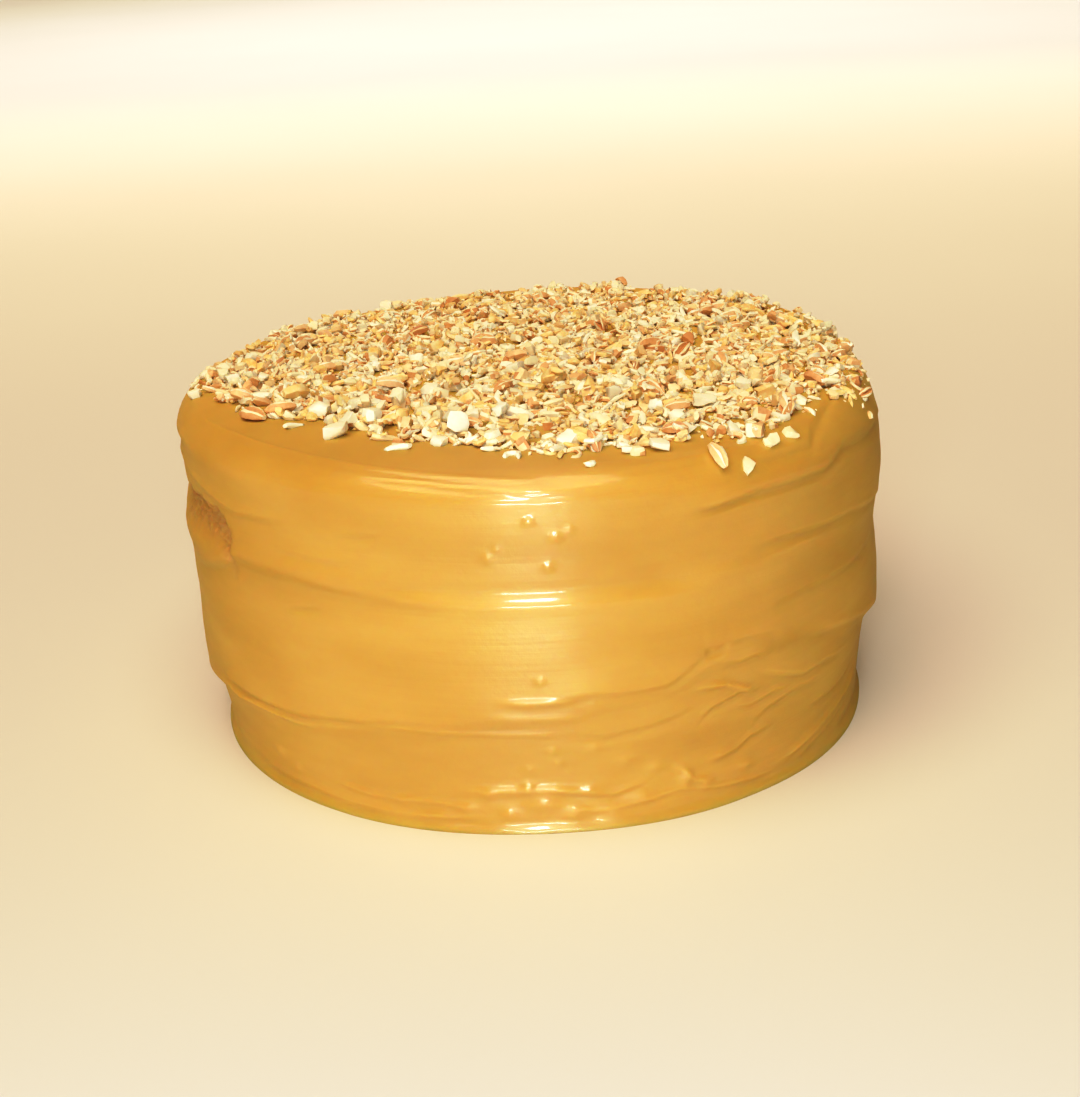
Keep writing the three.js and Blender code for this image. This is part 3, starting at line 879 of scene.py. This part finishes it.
def drawn_nuts(name, shape, count, long, wide, thick, skinned):
    """Every nut of one kind, first those drawn at random: place, size, yaw and tone, whether it has skin or a
    smear, how tall it stands, and whether it is a front nut.
    """
    placed = np.array(FRONT_NUTS.get(name, []), float).reshape(-1, 5)
    spots = scattered(count, EDGE_MARGIN * long[0])
    length = long[0] + (long[1] - long[0]) * rng.beta(*LENGTH_CURVE, count)
    length = np.concatenate([length, placed[:, 2]])
    total = len(length)
    shares = [np.ones(total), rng.uniform(*wide, total), rng.uniform(*thick, total)]
    size = length[:, None] * np.stack(shares, -1)
    look = placed[:, 4]
    return {
        "x": np.concatenate([spots[:, 0], placed[:, 0]]),
        "y": np.concatenate([spots[:, 1], placed[:, 1]]),
        "size": size,
        "yaw": np.radians(np.concatenate([rng.uniform(0, 360, count), placed[:, 3]])),
        "tone": np.concatenate([rng.beta(*TONE_CURVE, count), np.where(look > 1, TAN, look)]),
        "skinned": np.concatenate([rng.uniform(size=count) < skinned, (look == SKINNED) | (skinned == 1)]),
        "smeared": np.concatenate([rng.uniform(size=count) < SMEARED_SHARE, look == SMEARED]),
        "stands": size[:, 2] * STANDING_SHARE * np.ptp(shape()[0][:, 2]),
        "front": np.arange(total) >= count,
    }


def broken_copies(shape, count, stray):
    """Copies of a shape with strayed corners. Chunks and crumbs are also tapered along x and broken off flat
    on three sides.

    A break moves every point past a plane back to it. Also gives the way that each copy's first break faces.
    """
    corners, faces = shape()
    own = corners[None] + rng.uniform(-stray, stray, (count, *corners.shape))
    breaks = rng.normal(size=(3, count, 3))
    breaks /= np.linalg.norm(breaks, axis=2, keepdims=True)
    if shape in (cobble_shape, crumb_shape):
        own[:, :, 1:] *= 1 + 2 * rng.uniform(-TAPER, TAPER, (count, 1, 2)) * own[:, :, :1]
        for direction in breaks:
            plane = rng.uniform(*BREAK_AT, (count, 1))
            past = np.maximum(np.einsum("nij,nj->ni", own, direction) - plane, 0)
            own -= past[:, :, None] * direction[:, None, :]
    return own, faces, breaks[0]


def chopped_pecans():
    """Draws every nut, settles them all together, and joins each kind into one piece."""
    materials = [pecan_flesh_material(), pecan_skin_material(), smeared_pecan_material()]
    drawn = []
    for name, (shape, count, long, wide, thick, _, _, skinned) in NUT_KINDS.items():
        drawn.append(drawn_nuts(name, shape, count, long, wide, thick, skinned))
    together = {key: np.concatenate([nuts[key] for nuts in drawn]) for key in drawn[0]}
    rest, normal = settle(together)
    pieces = []
    start = 0
    for (name, (shape, _, _, _, _, stray, tips, _)), nuts in zip(NUT_KINDS.items(), drawn):
        count = len(nuts["x"])
        mine = slice(start, start + count)
        start += count
        calm = np.where(nuts["front"], FRONT_TIP_SHARE, 1)
        tip, roll = np.radians(tips) * rng.normal(0, 0.5, (2, count)) * calm
        turn = turning(nuts["yaw"], tip, roll, normal[mine])
        own, faces, broken = broken_copies(shape, count, stray)
        own *= nuts["size"][:, None, :]
        middle = np.stack([nuts["x"], nuts["y"], rest[mine]], axis=-1)
        points = np.einsum("nij,nkj->nki", turn, own) + middle[:, None, :]
        finish = np.where(skin_faces(shape, faces, broken) & nuts["skinned"][:, None], 1, 0)
        finish = np.where(nuts["smeared"][:, None], 2, finish)
        pieces.append(joined_nuts(name, points, faces, nuts["tone"], finish, materials))
    return pieces


def joined_nuts(name, points, faces, tone, finish, materials):
    """One piece from many copies of a shape. Each copy has one tone, and each of its faces one material."""
    count, corners, _ = points.shape
    offsets = np.arange(count) * corners
    flat = np.concatenate([np.array(face) for face in faces])
    all_faces = (offsets[:, None] + flat[None, :]).ravel()
    sizes = np.tile([len(face) for face in faces], count)
    mesh = new_mesh(name, points.reshape(-1, 3), all_faces, sizes, NUT_SHARP_FROM)
    tones = np.repeat(tone, len(faces)).astype(np.float32)
    mesh.attributes.new("tone", "FLOAT", "FACE").data.foreach_set("value", tones)
    piece = new_piece(name, mesh, "chopped_pecan", *materials)
    mesh.polygons.foreach_set("material_index", finish.astype(np.int32).ravel())
    return piece


def skin_faces(shape, faces, broken):
    """Which faces of each copy can be skin: the inner and lower outer sides of a curl or sliver, a quarter's
    groove, outer edges and underside, and on the other shapes the side away from the first break.
    """
    if shape in (curl_shape, sliver_shape, boat_shape):
        around, covered = (8, (0, 2, 3, 5, 6, 7)) if shape is boat_shape else (6, (2, 3, 5))
        number = np.arange(len(faces)) - 2
        return np.tile((number >= 0) & np.isin(number % around, covered), (len(broken), 1))
    corners, _ = shape()
    middles = np.array([corners[list(face)].mean(axis=0) for face in faces])
    middles /= np.linalg.norm(middles, axis=1, keepdims=True)
    return -broken @ middles.T > SKIN_FACING


# The stage, in metres: the floor's width, where lamps face, and the rectangular lamps, each with its place,
# power in watts, width and height, and colour.
FLOOR_SIZE = 12
CAKE_MIDDLE = (0, 0, 0.055)
SOFT_BOXES = [
    ("key_soft_box", (-0.03, -0.61, 0.28), 1.15, (0.14, 0.03), "#ECF6FF"),
    ("low_soft_box", (-0.03, -0.64, 0.06), 0.9, (0.2, 0.035), "#ECF6FF"),
    ("warm_card", (0, 1.6, 0.75), 6, (1.8, 0.8), "#FFCE8A"),
]

# The contrast curve: points of light and how it is shown.
CONTRAST = [(0.1, 0.031), (0.2, 0.093), (0.3, 0.178), (0.4, 0.281), (0.55, 0.468), (0.72, 0.722)]

# The camera: its place, focal length and sensor in millimetres, and its tip and roll in degrees.
CAMERA_AT = (0.8, -541.7, 253.9)
CAMERA_TIPPED_DOWN = 20.95
CAMERA_ROLLED = -3.08
FOCAL_LENGTH = 58.37
SENSOR_WIDTH = 36


def add_floor():
    """A wide pale floor under the cake, matt and plain but for a faint unevenness of its tone."""
    bpy.ops.mesh.primitive_plane_add(size=FLOOR_SIZE)
    floor = bpy.context.object
    floor.name = "pale_floor"
    material, tree, place = new_material("pale_matt_floor")
    colour = ramp(tree, noise(tree, place, 2.0, 2.0, 0.5), [(0.3, "#E1DED8"), (0.7, "#E4E1DB")])
    surface(tree, {"Base Color": colour}, Roughness=0.8)
    floor.data.materials.append(material)


def add_lamp(name, kind, place, target, power):
    """A lamp at a place in metres, turned to face a target."""
    light = bpy.data.lights.new(name, kind)
    light.energy = power
    lamp = bpy.data.objects.new(name, light)
    bpy.context.scene.collection.objects.link(lamp)
    lamp.location = place
    lamp.rotation_euler = (Vector(place) - Vector(target)).to_track_quat("Z", "Y").to_euler()
    return light


def add_lights():
    """Two cool soft boxes in front, one by the camera and one low, and a warm card behind, which the flat of
    the top reflects at the rim. Then a broad warm light from above, a box over the floor behind, and a dim
    surround.
    """
    for name, place, power, size, colour in SOFT_BOXES:
        box = add_lamp(name, "AREA", place, CAKE_MIDDLE, power)
        box.shape = "RECTANGLE"
        box.size, box.size_y = size
        box.color = linear(colour)[:3]
    high = add_lamp("high_soft_light", "SUN", (-0.2, -0.5, 1.2), (0, 0, 0), 2.6)
    high.angle = np.radians(60)
    high.color = linear("#FFEED4")[:3]
    behind = add_lamp("floor_soft_box", "AREA", (0, 2.6, 1.5), (0, 2.8, 0), 20)
    behind.size = 2.4
    behind.spread = np.radians(140)
    world = bpy.data.worlds.new("pale_surround")
    world.use_nodes = True
    surround = world.node_tree.nodes["Background"].inputs
    surround["Color"].default_value = linear("#F4F2EF")
    surround["Strength"].default_value = 0.08
    bpy.context.scene.world = world


def set_contrast():
    """Plain sRGB with deeper shades: light x below 0.72 is shown as about 0.72 (x / 0.72)^1.6."""
    view = bpy.context.scene.view_settings
    view.view_transform = "Standard"
    view.use_curve_mapping = True
    for light, shown in CONTRAST:
        view.curve_mapping.curves[3].points.new(light, shown)
    view.curve_mapping.update()


def add_camera():
    """The camera at the photograph's viewing angle: in front, looking down, and rolled a few degrees."""
    lens = bpy.data.cameras.new("camera")
    lens.lens = FOCAL_LENGTH
    lens.sensor_width = SENSOR_WIDTH
    lens.clip_start = 0.01
    camera = bpy.data.objects.new("camera", lens)
    bpy.context.scene.collection.objects.link(camera)
    tipped = Matrix.Rotation(np.radians(90 - CAMERA_TIPPED_DOWN), 4, "X")
    rolled = Matrix.Rotation(np.radians(CAMERA_ROLLED), 4, "Z")
    camera.matrix_world = Matrix.Translation([size * MM for size in CAMERA_AT]) @ tipped @ rolled
    bpy.context.scene.camera = camera


icing = new_piece("caramel_icing", icing_mesh(), "caramel_icing", caramel_icing_material())
for piece in [icing, *chopped_pecans()]:
    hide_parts("caramel_cake")

add_floor()
add_lights()
add_camera()
set_contrast()
